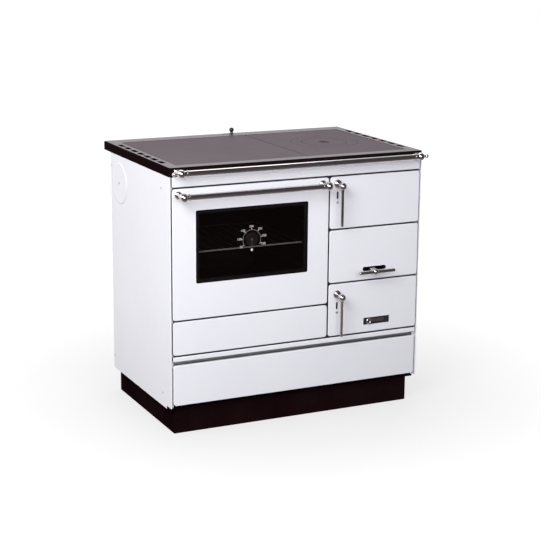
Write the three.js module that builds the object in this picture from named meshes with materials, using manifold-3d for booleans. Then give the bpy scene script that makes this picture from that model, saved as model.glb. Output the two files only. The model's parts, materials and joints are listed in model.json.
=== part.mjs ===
// A wood cookstove in enamelled sheet: the oven on the left, the firebox over the ash compartment on the
// right, a fuel drawer along the bottom, and hotplates in a cast frame on top.
// Millimetres, X to the right, Y to the back, Z up. The stove is drawn with Y = 0 at the middle of its top
// frame; the group at the end is shifted so that the whole, handles included, is centred on the origin.

import * as THREE from "three";
import { mergeVertices } from "three/addons/utils/BufferGeometryUtils.js";
import Module from "manifold-3d";

const wasm = await Module();
wasm.setup();

// ---------------------------------------------------------------- driving dimensions

const seat = 0.3; // between pieces that touch
const sheet = 2; // casing sheet

const top = { halfWidth: 450, halfDepth: 300, height: 870, edge: 28.7, deck: 6, skirt: 7, corner: 6 };
const vents = { count: 7, x: 429, first: -187, pitch: 60, length: 25, width: 16 };
const plates = { halfWidth: 409, front: -258, back: 235, joint: 50, thickness: 10, ledge: 12 };
const cooker = { x: 235, y: -8, ringRadius: 115, lidRadius: 77, recessRadius: 17 };

const casing = { halfWidth: 449, front: -288.5, back: 235, bottom: 85, top: 841, flange: 13 };
const hem = { front: -300, width: 3.5 }; // the folded front edge of each side, level with the doors
const plinth = { halfWidth: 427.5, front: -270, back: 229, height: 84.7, board: 3, flange: 25 };
const face = -302; // front plane of all doors and panels
const doors = { halfWidth: 441.5 }; // they stand between the hems of the sides
const pan = { depth: 9, sheet: 1.5, corner: 9, edge: 2.5 };

// Lines between the doors, each the middle of a gap
const gap = 4;
const lines = { column: 105.4, fascia: 806, firebox: 629, ash: 448, rail: 267, oven: 381 };
const rail = { bottom: 249 };
const drawer = { bottom: 105, top: 236, frontHalf: 440, halfWidth: 431, back: 180, height: 98 };

const oven = { left: -386, right: 44, bottom: 425, top: 745, back: 150, sheet: 3 };
const rackLevels = [503, 579, 655];
const ovenWindow = { left: -363, right: 28, bottom: 498, top: 732, corner: 5 };
const thermometer = { x: -171, z: 624 };
const ovenHandle = { x: -171.3, half: 250, y: -347, z: 784, ball: 14, bar: 8.7 };
const ovenHinge = { y: -296.5, z: 389 };
const sideHinge = { x: 435.5, y: -298, pin: 2 };
const latches = { firebox: { x: 134, z: 780.6 }, ash: { x: 138.7, z: 410.5 }, keeper: 115 };

const firebox = { left: 170, right: 395, front: -255, back: 80, floor: 512, top: 800, brick: 28 };
const fireMouth = { left: 172, right: 393, bottom: 652, top: 778 };
const ashMouth = { left: 172, right: 393, bottom: 292, top: 425 };
const ashBox = { left: 141, right: 424, bottom: 286, top: 503, back: 110, sheet: 3 };
const shaker = { x: 259, z: 486, slotLeft: 245, slotRight: 314, slotZ: 487, slotWidth: 13 };
const airSlide = { left: 240, right: 338, bottom: 295, top: 319, knobX: 258, z: 307.5 };

const flue = { x: -340, z: 749, radius: 75, wall: 3, reach: 295 };
const sideOutlet = { y: 148, z: 749, radius: 62, coverRadius: 70 };
const damper = { x: 20, y: 285, z: 884, travel: 30, rodZ: 820 };

// ---------------------------------------------------------------- solids

// A closed three.js geometry as a solid that can be joined and cut.
function solid(geometry) {
  const bare = geometry.clone();
  bare.deleteAttribute("normal");
  bare.deleteAttribute("uv");
  const merged = mergeVertices(bare, 1e-4);
  const corners = merged.index.array;
  const kept = [];
  for (let i = 0; i < corners.length; i += 3) {
    const [a, b, c] = [corners[i], corners[i + 1], corners[i + 2]];
    if (a !== b && b !== c && c !== a) kept.push(a, b, c);
  }
  const mesh = new wasm.Mesh({
    numProp: 3,
    vertProperties: merged.attributes.position.array,
    triVerts: new Uint32Array(kept),
  });
  return new wasm.Manifold(mesh);
}

const join = (...bodies) => bodies.reduce((whole, body) => whole.add(body));
const cut = (body, ...tools) => tools.reduce((rest, tool) => rest.subtract(tool), body);

function block([x0, x1], [y0, y1], [z0, z1]) {
  const geometry = new THREE.BoxGeometry(x1 - x0, y1 - y0, z1 - z0);
  geometry.translate((x0 + x1) / 2, (y0 + y1) / 2, (z0 + z1) / 2);
  return solid(geometry);
}

// Turns a shape made along +Y so that it runs along the given direction from a point.
function aim(geometry, from, direction) {
  const turn = new THREE.Quaternion().setFromUnitVectors(new THREE.Vector3(0, 1, 0), direction);
  geometry.applyQuaternion(turn);
  geometry.translate(...from);
  return geometry;
}

function bar(from, to, radius, sides = 12) {
  const run = new THREE.Vector3(...to).sub(new THREE.Vector3(...from));
  const geometry = new THREE.CylinderGeometry(radius, radius, run.length(), sides);
  geometry.translate(0, run.length() / 2, 0);
  return solid(aim(geometry, from, run.normalize()));
}

function ball(centre, radius, sides = 10) {
  const geometry = new THREE.SphereGeometry(radius, sides, Math.round(sides * 0.6));
  geometry.translate(...centre);
  return solid(geometry);
}

// A turned piece: the profile is [radius, distance along the axis], from the axis back to the axis.
function turned(profile, from, direction, sides = 24) {
  const points = profile.map(([radius, distance]) => new THREE.Vector2(radius, distance));
  const geometry = new THREE.LatheGeometry(points, sides);
  return solid(aim(geometry, from, new THREE.Vector3(...direction)));
}

// ---------------------------------------------------------------- outlines

function rectangle([x0, x1], [y0, y1], radius = 0) {
  const shape = new THREE.Shape();
  if (radius === 0) {
    shape.moveTo(x0, y0);
    shape.lineTo(x1, y0);
    shape.lineTo(x1, y1);
    shape.lineTo(x0, y1);
    shape.closePath();
    return shape;
  }
  const quarter = Math.PI / 2;
  shape.moveTo(x0 + radius, y0);
  shape.absarc(x1 - radius, y0 + radius, radius, -quarter, 0);
  shape.absarc(x1 - radius, y1 - radius, radius, 0, quarter);
  shape.absarc(x0 + radius, y1 - radius, radius, quarter, 2 * quarter);
  shape.absarc(x0 + radius, y0 + radius, radius, 2 * quarter, 3 * quarter);
  shape.closePath();
  return shape;
}

function outline(points) {
  return new THREE.Shape(points.map(([x, y]) => new THREE.Vector2(x, y)));
}

// The plane that an outline is drawn in: seen from the front (X, Z), from the top (X, Y) or the side (Y, Z).
const X = new THREE.Vector3(1, 0, 0);
const Y = new THREE.Vector3(0, 1, 0);
const Z = new THREE.Vector3(0, 0, 1);
const views = {
  front: new THREE.Matrix4().makeBasis(X, Z, Y.clone().negate()),
  top: new THREE.Matrix4().makeBasis(X, Y, Z),
  side: new THREE.Matrix4().makeBasis(Y, Z, X),
};

// An outline drawn in a view and given its thickness between two depths.
function slab(shape, view, [low, high], segments = 2) {
  const geometry = new THREE.ExtrudeGeometry(shape, {
    depth: high - low,
    bevelEnabled: false,
    curveSegments: segments,
  });
  return placeSlab(geometry, view, low, high);
}

function placeSlab(geometry, view, low, high) {
  geometry.applyMatrix4(views[view]);
  if (view === "front") geometry.translate(0, high, 0);
  if (view === "side") geometry.translate(low, 0, 0);
  if (view === "top") geometry.translate(0, 0, low);
  return solid(geometry);
}

// The same with its edges rounded over all round, on both faces.
function softSlab(shape, view, [low, high], rounding, segments = 2, steps = 1) {
  const geometry = new THREE.ExtrudeGeometry(shape, {
    depth: high - low - 2 * rounding,
    bevelEnabled: true,
    bevelThickness: rounding,
    bevelSize: rounding,
    bevelOffset: -rounding,
    bevelSegments: steps,
    curveSegments: segments,
  });
  geometry.translate(0, 0, rounding);
  return placeSlab(geometry, view, low, high);
}

// The same solid on the other side of the stove: its mirror image across X = 0.
function mirrored(body) {
  const mesh = body.getMesh();
  const vertices = Float32Array.from(mesh.vertProperties, (value, i) => (i % 3 === 0 ? -value : value));
  const corners = Uint32Array.from(mesh.triVerts);
  for (let i = 0; i < corners.length; i += 3) {
    const first = corners[i];
    corners[i] = corners[i + 1];
    corners[i + 1] = first;
  }
  return new wasm.Manifold(new wasm.Mesh({ numProp: 3, vertProperties: vertices, triVerts: corners }));
}

// A folded front panel: a shallow pan with a rounded outline and a soft front edge, open at the back.
function frontPan([x0, x1], [z0, z1], corner = pan.corner) {
  const s = pan.sheet;
  const back = face + pan.depth;
  const spare = 2 * pan.edge;
  const skin = softSlab(rectangle([x0, x1], [z0, z1], corner), "front", [face, back + spare], pan.edge, 2, 2);
  const inside = rectangle([x0 + s, x1 - s], [z0 + s, z1 - s], corner - s);
  const hollow = slab(inside, "front", [face + s, back + spare], 1);
  const behind = block([x0 - 1, x1 + 1], [back, back + spare + 1], [z0 - 1, z1 + 1]);
  return cut(skin, hollow, behind);
}

// A flat ring that follows a rectangle: a rope seal or a frame.
function border([x0, x1], [z0, z1], width, [front, back]) {
  const outer = slab(rectangle([x0, x1], [z0, z1], width), "front", [front, back], 2);
  const inner = block([x0 + width, x1 - width], [front - 1, back + 1], [z0 + width, z1 - width]);
  return cut(outer, inner);
}

// ---------------------------------------------------------------- finishes

const finishes = {
  enamel: { color: 0xe8e8ef, roughness: 0.22, metalness: 0 },
  frameEnamel: { color: 0x262024, roughness: 0.3, metalness: 0 },
  plinthPaint: { color: 0x17100f, roughness: 0.6, metalness: 0 },
  hotplate: { color: 0x6b636a, roughness: 0.5, metalness: 0.4 },
  castIron: { color: 0x3b3938, roughness: 0.7, metalness: 0.5 },
  steel: { color: 0x4c4c4e, roughness: 0.5, metalness: 0.8 },
  ovenEnamel: { color: 0x24211f, roughness: 0.4, metalness: 0 },
  zinc: { color: 0x9a9c9e, roughness: 0.4, metalness: 0.9 },
  chrome: { color: 0xd6d6da, roughness: 0.1, metalness: 1 },
  blackKnob: { color: 0x111111, roughness: 0.3, metalness: 0 },
  firebrick: { color: 0xc9ae84, roughness: 0.95, metalness: 0 },
  rope: { color: 0xbdb8ab, roughness: 1, metalness: 0 },
  glass: { color: 0x2a2420, roughness: 0.05, metalness: 0, transparent: true, opacity: 0.5 },
};

function part(group, name, body, finish) {
  const { vertProperties, triVerts } = body.getMesh();
  const shared = new THREE.BufferGeometry();
  shared.setAttribute("position", new THREE.BufferAttribute(vertProperties, 3));
  shared.setIndex(new THREE.BufferAttribute(triVerts, 1));
  const geometry = shared.toNonIndexed();
  geometry.computeVertexNormals();
  const mesh = new THREE.Mesh(geometry, new THREE.MeshStandardMaterial(finishes[finish]));
  mesh.name = name;
  group.add(mesh);
}

const stove = new THREE.Group();

// ---------------------------------------------------------------- plinth

// Each board is a channel: its web faces out and its two flanges turn inwards.
function channel(outer, inward) {
  const { height, board, flange } = plinth;
  const web = outer + inward * board;
  const tip = outer + inward * flange;
  const points = [
    [outer, 0], [tip, 0], [tip, board], [web, board],
    [web, height - board], [tip, height - board], [tip, height], [outer, height],
  ];
  return outline(inward > 0 ? points : points.reverse());
}

function makePlinth() {
  const { halfWidth, front, back, flange, board, height } = plinth;
  const sideRun = [front + flange + seat, back - flange - seat];
  // The front and back boards have closed ends, which the side boards meet.
  const ends = (y) => [-halfWidth, halfWidth - board].map((x) => block([x, x + board], y, [0, height]));
  const across = [-halfWidth, halfWidth];
  const frontBoard = join(slab(channel(front, 1), "side", across), ...ends([front, front + flange]));
  const backBoard = join(slab(channel(back, -1), "side", across), ...ends([back - flange, back]));
  part(stove, "plinth_front", frontBoard, "plinthPaint");
  part(stove, "plinth_back", backBoard, "plinthPaint");
  part(stove, "plinth_left", slab(channel(-halfWidth, 1), "front", sideRun), "plinthPaint");
  part(stove, "plinth_right", slab(channel(halfWidth, -1), "front", sideRun), "plinthPaint");
}

// ---------------------------------------------------------------- casing

// One folded side: a long web with a hem along its front edge, and a narrow flange behind the hem and at the back.
function sidePanel() {
  const { halfWidth: x, front, back, bottom, top: height, flange } = casing;
  const bend = 3;
  const fold = 1.6;
  const shape = new THREE.Shape();
  shape.moveTo(x - flange, front);
  shape.lineTo(x - hem.width, front);
  shape.lineTo(x - hem.width, hem.front + fold);
  shape.absarc(x - hem.width + fold, hem.front + fold, fold, Math.PI, 1.5 * Math.PI);
  shape.absarc(x - fold, hem.front + fold, fold, -Math.PI / 2, 0);
  shape.absarc(x - bend, back - bend, bend, 0, Math.PI / 2);
  shape.lineTo(x - flange, back);
  shape.lineTo(x - flange, back - sheet);
  shape.lineTo(x - sheet, back - sheet);
  shape.lineTo(x - sheet, front + sheet);
  shape.lineTo(x - flange, front + sheet);
  shape.closePath();
  const web = slab(shape, "top", [bottom, height], 2);
  const cornerNotch = block([x - flange - 1, x + 1], [hem.front - 1, front + 30], [bottom - 1, bottom + 10]);
  return cut(web, cornerNotch);
}

function makeSides() {
  const outlet = bar([-460, sideOutlet.y, sideOutlet.z], [-430, sideOutlet.y, sideOutlet.z],
    sideOutlet.radius, 22);
  part(stove, "side_panel_right", sidePanel(), "enamel");
  part(stove, "side_panel_left", cut(mirrored(sidePanel()), outlet), "enamel");

  // The cover closes the unused flue outlet: a dished disc, a short collar in the hole and a centre screw.
  const { coverRadius: r, radius: hole } = sideOutlet;
  const start = [-casing.halfWidth - seat, sideOutlet.y, sideOutlet.z];
  const disc = turned([[0, 0], [r, 0], [r, 1.2], [r - 2, 2.4], [7, 2.4], [5, 4], [0, 4.4]], start, [-1, 0, 0], 22);
  const collar = turned(
    [[hole - 5, 0.5], [hole - 5, -12], [hole - 2, -12], [hole - 2, 0.5], [hole - 5, 0.5]],
    start, [-1, 0, 0], 22,
  );
  part(stove, "side_outlet_cover", join(disc, collar), "enamel");
}

function makeRear() {
  const { back } = casing;
  const near = back + seat;
  const far = near + sheet;
  const skin = slab(rectangle([-440, 440], [96, 838], 4), "front", [near, far]);
  const opening = bar([flue.x, near - 5, flue.z], [flue.x, far + 5, flue.z], flue.radius - flue.wall, 24);
  const rodSlot = slab(
    rectangle([damper.x - damper.travel - 6, damper.x + 6], [damper.rodZ - 6, damper.rodZ + 6], 6),
    "front", [near - 5, far + 5],
  );
  part(stove, "rear_panel", cut(skin, opening, rodSlot), "zinc");

  const inner = flue.radius - flue.wall;
  const length = flue.reach - far - seat;
  const spigot = [
    [inner, 0], [flue.radius + 17, 0], [flue.radius + 17, 3], [flue.radius, 3],
    [flue.radius, length], [inner, length], [inner, 0],
  ];
  part(stove, "flue_spigot", turned(spigot, [flue.x, far + seat, flue.z], [0, 1, 0], 24), "steel");
}

function makeBase() {
  const { halfWidth, front, back, bottom } = casing;
  const x = halfWidth - sheet - seat;
  const run = [front + 8, back - sheet - seat];
  const floor = block([-x, x], run, [bottom, bottom + sheet]);
  const turnUp = block([x - sheet, x], run, [bottom, bottom + 15]);
  // The drawer slides on a rail of folded sheet along each side.
  const railTop = drawer.bottom + 7;
  const railRun = [front + 10, drawer.back + 20];
  const shelf = block([404, x - 1], railRun, [railTop - sheet, railTop]);
  const leg = block([404, 404 + sheet], railRun, [bottom + 1, railTop]);
  const guide = block([x - sheet, x], railRun, [bottom + 1, railTop + 14]);
  const side = join(turnUp, shelf, leg, guide);
  part(stove, "base_plate", join(floor, side, mirrored(side)), "zinc");
}

// The plate behind the doors, with the mouths of the oven, firebox and ash compartment.
function makeFrontPlate() {
  const { halfWidth, front, top: height, flange } = casing;
  const x = halfWidth - flange - seat;
  const depth = [front, front + 3];
  const through = [front - 5, front + 10];
  const plate = block([-x, x], depth, [rail.bottom + 1, height - seat]);
  const mouths = [oven, fireMouth, ashMouth].map((mouth) =>
    slab(rectangle([mouth.left, mouth.right], [mouth.bottom, mouth.top], 6), "front", through, 1));
  const rodSlot = slab(rectangle([shaker.slotLeft - 6, shaker.slotRight + 6], [474, 495], 8), "front", through, 1);
  // A keeper stands beside each latch tongue.
  const keepers = [latches.firebox.z, latches.ash.z].map((z) =>
    block([latches.keeper - 3.5, latches.keeper], [face + 3.5, front + 1], [z - 11, z + 11]));
  part(stove, "front_plate", join(cut(plate, ...mouths, rodSlot), ...keepers), "steel");
}

function makePartition() {
  const { halfWidth, front, back } = casing;
  const x = halfWidth - sheet - seat;
  const run = [front + 3 + seat, back - sheet - seat];
  const ceiling = block([-x, x], run, [242, 244]);
  const wall = block([104, 107], run, [243, 760]);
  // An apron hangs from the ceiling behind the finger gap.
  const apron = block([-434, 434], [run[0], run[0] + sheet], [214, 243]);
  part(stove, "inner_partition", join(ceiling, wall, apron), "zinc");
}

function makeFrontPanels() {
  const x = doors.halfWidth;
  const half = gap / 2;
  part(stove, "fascia_strip", frontPan([-x, x], [lines.fascia + half, casing.top], 3.5), "enamel");
  part(stove, "lower_rail", frontPan([-x, x], [rail.bottom, lines.rail - half], 3.5), "enamel");
  const low = lines.rail + half;
  part(stove, "soot_panel", frontPan([-x, lines.column - half], [low, lines.oven - half]), "enamel");
  const blank = frontPan([lines.column + half, x], [lines.ash + half, lines.firebox - half]);
  const slotZ = [shaker.slotZ - shaker.slotWidth / 2, shaker.slotZ + shaker.slotWidth / 2];
  const slot = slab(rectangle([shaker.slotLeft, shaker.slotRight], slotZ, shaker.slotWidth / 2), "front",
    [face - 5, face + 5]);
  part(stove, "middle_panel", cut(blank, slot), "enamel");
}

// ---------------------------------------------------------------- top frame and hotplates

function makeTopFrame() {
  const { halfWidth: x, halfDepth: y, height, edge, deck, skirt, corner } = top;
  const { halfWidth: px, front, back, thickness, ledge } = plates;
  const ledgeTop = height - thickness - seat - 0.4;
  const skin = softSlab(rectangle([-x, x], [-y, y], corner), "top", [height - edge, height], 2, 2, 2);
  const hollow = slab(rectangle([-x + skirt, x - skirt], [-y + skirt, y - skirt], 2), "top",
    [height - edge - 1, height - deck]);
  const wall = 5;
  const well = block([-px - wall, px + wall], [front - wall, back + wall], [ledgeTop - 4, height - 1]);
  const opening = block([-px, px], [front, back], [ledgeTop, height + 1]);
  const below = block([-px + ledge, px - ledge], [front + ledge, back - ledge], [ledgeTop - 5, ledgeTop + 1]);

  const slots = [];
  for (let i = 0; i < vents.count; i++) {
    const along = vents.first + i * vents.pitch;
    const shape = rectangle([vents.x - vents.length / 2, vents.x + vents.length / 2],
      [along - vents.width / 2, along + vents.width / 2], vents.width / 2);
    const slot = slab(shape, "top", [height - deck - 1, height + 1], 1);
    slots.push(slot, mirrored(slot));
  }
  const rodSlot = slab(
    rectangle([damper.x - damper.travel - 4, damper.x + 4], [damper.y - 4, damper.y + 4], 4),
    "top", [height - deck - 1, height + 1],
  );
  part(stove, "top_frame", cut(join(cut(skin, hollow), well), opening, below, ...slots, rodSlot), "frameEnamel");
}

function makeHotplates() {
  const { halfWidth, front, back, thickness, joint } = plates;
  const upper = top.height - 0.4;
  const lower = upper - thickness;
  const run = [front + seat, back - seat];
  const seam = 1.2;
  const edge = 1;
  const left = softSlab(rectangle([-halfWidth + seat, joint - seam], run, 2), "top", [lower, upper], edge, 1);
  part(stove, "hotplate_left", left, "hotplate");

  // The round plates step down into each other, so that each one lifts straight up.
  const { x, y, ringRadius, lidRadius } = cooker;
  const step = 4.7;
  const lap = 7;
  const play = 0.6;
  const right = softSlab(rectangle([joint + seam, halfWidth - seat], run, 2), "top", [lower, upper], edge, 1);
  const ringHole = join(
    bar([x, y, lower - 5], [x, y, upper + 5], ringRadius - lap + play, 26),
    bar([x, y, lower + step - seat], [x, y, upper + 5], ringRadius + play, 26),
  );
  part(stove, "hotplate_right", cut(right, ringHole), "hotplate");

  const rise = thickness - seat;
  const ring = [
    [lidRadius - lap + play, 0], [ringRadius - lap, 0], [ringRadius - lap, step - seat],
    [ringRadius, step - seat], [ringRadius, rise - 0.8], [ringRadius - 0.8, rise], [lidRadius + play + 0.8, rise],
    [lidRadius + play, rise - 0.8], [lidRadius + play, step], [lidRadius - lap + play, step],
    [lidRadius - lap + play, 0],
  ];
  part(stove, "hotplate_ring", turned(ring, [x, y, lower + seat], [0, 0, 1], 26), "hotplate");

  // The lid has a dished recess with a bar across it for the lifting hook.
  const r = cooker.recessRadius;
  const lid = [
    [0, 0], [lidRadius - lap, 0], [lidRadius - lap, step + seat], [lidRadius, step + seat],
    [lidRadius, rise - 0.8], [lidRadius - 0.8, rise], [r, rise], [r - 2, rise - 6], [0, rise - 6],
  ];
  const disc = turned(lid, [x, y, lower + seat], [0, 0, 1], 26);
  const hookBar = bar([x - r - 1, y, upper - 2.6], [x + r + 1, y, upper - 2.6], 2.2, 8);
  part(stove, "hotplate_lid", join(disc, hookBar), "hotplate");
}

function makeTowelRail() {
  const at = { x: 424, y: -333, z: 855.5 };
  const rodRadius = 9.3;
  const ballRadius = 13.5;
  const rodEnd = at.x - 8.8;
  const socket = bar([rodEnd + seat, at.y, at.z], [at.x - 30, at.y, at.z], rodRadius + seat);
  const foot = turned([[0, 0], [11, 0], [11, 2], [8, 4], [0, 4]], [at.x, -top.halfDepth - seat, at.z], [0, -1, 0], 14);
  const stem = bar([at.x, -top.halfDepth - 2, at.z], [at.x, at.y, at.z], 5.5, 8);
  const finial = { x: 447, radius: 7 };
  const neck = bar([at.x, at.y, at.z], [finial.x, at.y, at.z], 4, 8);
  const knob = ball([finial.x, at.y, at.z], finial.radius, 8);
  const bracket = cut(join(foot, stem, ball([at.x, at.y, at.z], ballRadius), neck, knob), socket);
  part(stove, "towel_bracket_right", bracket, "chrome");
  part(stove, "towel_bracket_left", mirrored(bracket), "chrome");

  const collar = bar([402, at.y, at.z], [406, at.y, at.z], rodRadius + 2);
  const rod = bar([-rodEnd, at.y, at.z], [rodEnd, at.y, at.z], rodRadius);
  part(stove, "towel_rail", join(rod, collar, mirrored(collar)), "chrome");
}

// ---------------------------------------------------------------- damper

// A slotted plate slides over a slotted baffle behind the oven, moved by the knob on the top frame.
function makeDamper() {
  const { x, y, z, travel, rodZ } = damper;
  const group = new THREE.Group();
  const stemRadius = 3;
  const knob = join(
    ball([x, y, z], 8, 10),
    turned([[0, 0], [6, 0], [6, 2], [4.5, 7], [0, 7]], [x, y, top.height + seat], [0, 0, 1], 10),
  );
  const bore = bar([x, y, top.height - 5], [x, y, z + 2 + seat], stemRadius + seat, 8);
  part(group, "damper_knob", cut(knob, bore), "blackKnob");
  const plateFront = 203;
  const rod = join(
    bar([x, y, rodZ], [x, y, z + 2], stemRadius, 8),
    ball([x, y, rodZ], 4.5, 8),
    bar([x, y, rodZ], [x, plateFront + 1, rodZ], 4, 8),
  );
  const slots = (low, high) => [-100, -40, 20].map((at) =>
    slab(rectangle([at - 12, at + 12], [764, 806], 4), "front", [low - 2, high + 2], 1));
  const plate = slab(rectangle([x - 156, x + 30], [756, 832], 3), "front", [plateFront, plateFront + 3]);
  part(group, "damper_slide", join(cut(plate, ...slots(plateFront, plateFront + 3)), rod), "castIron");
  stove.add(group);

  const baffle = { front: 196, back: 199, left: -386, right: 100 };
  const upright = block([baffle.left, baffle.right], [baffle.front, baffle.back], [749, 837]);
  const shelf = block([baffle.left, baffle.right], [110, baffle.back], [748.5, 751.5]);
  part(stove, "damper_seat", cut(join(upright, shelf), ...slots(baffle.front, baffle.back)), "castIron");
}

// ---------------------------------------------------------------- oven

function makeOven() {
  const s = oven.sheet;
  const mouth = casing.front + 3 + seat;
  const skin = block([oven.left - s, oven.right + s], [mouth, oven.back + s], [oven.bottom - s, oven.top + s]);
  const room = slab(rectangle([oven.left, oven.right], [oven.bottom, oven.top], 8), "front",
    [mouth - 2, oven.back]);
  // Pressed guides run along both sides to carry the rack.
  const guides = [];
  for (const z of rackLevels) {
    const rib = slab(outline([
      [oven.left - 1, z - 5], [oven.left + 7, z - 3], [oven.left + 7, z], [oven.left - 1, z],
    ]), "front", [-265, 130]);
    guides.push(rib);
    guides.push(slab(outline([
      [oven.right + 1, z - 5], [oven.right + 1, z], [oven.right - 7, z], [oven.right - 7, z - 3],
    ]), "front", [-265, 130]));
  }
  part(stove, "oven_box", join(cut(skin, room), ...guides), "ovenEnamel");

  // The rack: a wire frame with cross wires, bent up at the back.
  const z = rackLevels[1] + seat + 3;
  const wire = 3;
  const [x0, x1, y0, y1] = [oven.left + 4, oven.right - 4, -232, 120];
  const wires = [
    ...[y0, y1].map((y) => bar([x0 - 2, y, z], [x1 + 2, y, z], wire, 6)),
    ...[x0, x1].map((x) => bar([x, y0, z], [x, y1, z], wire, 6)),
  ];
  const cross = 10;
  for (let i = 1; i <= cross; i++) {
    const x = x0 + ((x1 - x0) * i) / (cross + 1);
    wires.push(bar([x, y0, z], [x, y1, z], 2, 4));
  }
  part(stove, "oven_rack", join(...wires), "chrome");
}

function makeOvenDoor() {
  const group = new THREE.Group();
  const right = lines.column - gap / 2;
  const [bottom, height] = [lines.oven + gap / 2, lines.fascia - gap / 2];
  const { left: wx0, right: wx1, bottom: wz0, top: wz1, corner } = ovenWindow;
  const pane = rectangle([wx0 + 0.5, wx1 - 0.5], [wz0 + 0.5, wz1 - 0.5], corner);
  const window = slab(rectangle([wx0, wx1], [wz0, wz1], corner), "front", [face - 5, face + 5]);
  part(group, "oven_door_shell", cut(frontPan([-doors.halfWidth, right], [bottom, height]), window), "enamel");

  const axis = (depth) => [thermometer.x, depth, thermometer.z];
  const glassBack = face + 4.2;
  const stemHole = bar(axis(face - 5), axis(face + 15), 4.3);
  part(group, "oven_door_glass", cut(slab(pane, "front", [face + 0.2, glassBack]), stemHole), "glass");

  // The liner frames the glass from behind and carries the two hinge ears.
  const linerFront = glassBack + seat;
  const linerBack = linerFront + 2;
  const liner = slab(rectangle([-doors.halfWidth + 8, right - 8], [bottom + 15, height - 8], 4), "front",
    [linerFront, linerBack]);
  const sight = slab(rectangle([wx0 + 12, wx1 - 12], [wz0 + 12, wz1 - 12], 4), "front",
    [linerFront - 2, linerBack + 2]);
  const { y: hy, z: hz } = ovenHinge;
  const middle = (right - doors.halfWidth) / 2;
  const ears = [-1, 1].map((side) => {
    const x = middle + side * 250;
    const plate = join(
      bar([x - 1.5, hy, hz], [x + 1.5, hy, hz], 3.7, 12),
      block([x - 1.5, x + 1.5], [hy - 1, hy + 3], [hz, bottom + 18]),
    );
    return cut(plate, bar([x - 5, hy, hz], [x + 5, hy, hz], 2.3, 10));
  });
  part(group, "oven_door_inner", join(cut(liner, sight), ...ears), "steel");
  part(group, "oven_door_seal", border([oven.left - 15, oven.right + 15], [oven.bottom - 15, oven.top + 15], 6,
    [linerBack + seat, casing.front - 0.6]), "rope");
  part(group, "oven_thermometer", join(
    turned([[0, 0], [5.5, 0], [6.5, 1], [6.5, 1.6], [4, 1.6], [4, 6.1], [24, 6.1], [24, 12], [0, 12]],
      axis(face - 1.6), [0, 1, 0], 16),
  ), "chrome");

  // The handle: a bar between two balls, each on a stem from a round foot.
  const hold = ovenHandle;
  for (const side of [-1, 1]) {
    const x = hold.x + side * hold.half;
    const end = x - side * 9;
    const bracket = join(
      turned([[0, 0], [12, 0], [12, 2], [8.5, 5], [0, 5]], [x, face - seat, hold.z], [0, -1, 0], 14),
      bar([x, face - 2, hold.z], [x, hold.y, hold.z], 6.5, 8),
      ball([x, hold.y, hold.z], hold.ball),
    );
    const socket = bar([end + side * seat, hold.y, hold.z], [x - side * 30, hold.y, hold.z], hold.bar + seat);
    part(group, side < 0 ? "oven_handle_bracket_left" : "oven_handle_bracket_right", cut(bracket, socket), "chrome");
  }
  part(group, "oven_handle_bar", bar([hold.x - hold.half + 9, hold.y, hold.z],
    [hold.x + hold.half - 9, hold.y, hold.z], hold.bar), "chrome");
  stove.add(group);

  // The hinge brackets stand on the front plate beside the ears; their pins pass through the ears.
  for (const side of [-1, 1]) {
    const x = middle + side * 250;
    const inner = x - side * 4;
    const bracket = join(
      block([inner - 1.5, inner + 1.5], [hy - 2, hy + 2], [hz, hz + 6]),
      block([inner - 1.5, inner + 1.5], [hy - 2, casing.front - 1], [hz + 5, hz + 8.3]),
      block([inner - 8, inner + 8], [casing.front - 2.5, casing.front - seat], [hz + 5, hz + 24]),
      bar([inner, hy, hz], [x + side * 4, hy, hz], 2, 10),
      bar([inner - 1.5, hy, hz], [inner + 1.5, hy, hz], 3.6, 10),
    );
    part(stove, side < 0 ? "oven_hinge_left" : "oven_hinge_right", bracket, "steel");
  }
}

// ---------------------------------------------------------------- firebox and ash doors

// The latch: a round foot, a stem out to a ball, a rod hanging from the ball and a tongue behind the door.
function latch({ x, z }) {
  const reach = -337;
  const rodFoot = z - 134;
  const tongue = [face + 1.8, face + 3.8];
  return join(
    turned([[0, 0], [14.5, 0], [14.5, 2], [11, 4.5], [0, 4.5]], [x, face - seat, z], [0, -1, 0], 16),
    bar([x, reach, z], [x, tongue[0] + 1, z], 3.5, 8),
    bar([x, reach, z], [x, face - 3, z], 5, 8),
    ball([x, reach, z - 3], 13, 12),
    bar([x, reach, z], [x, reach, rodFoot], 4.3, 8),
    ball([x, reach, rodFoot], 4.3, 8),
    block([latches.keeper + 2, x + 4], tongue, [z - 5, z + 5]),
  );
}

// A door hung on the right: its shell with the holes for the pins, the latch and the escutcheon slot.
function sideDoorShell([z0, z1], at) {
  const shell = frontPan([lines.column + gap / 2, doors.halfWidth], [z0, z1]);
  const spindle = bar([at.x, face - 5, at.z], [at.x, face + 5, at.z], 3.9, 8);
  const slot = slab(rectangle([at.x - 3, at.x + 3], [at.z - 50, at.z - 30], 3), "front", [face - 5, face + 5], 1);
  const { x, y, pin } = sideHinge;
  return cut(shell, spindle, slot, bar([x, y, z0 - 5], [x, y, z1 + 5], pin + seat, 8));
}

const liner = { left: 120, right: 427, front: face + 4.5, back: face + 7.5 };

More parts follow.
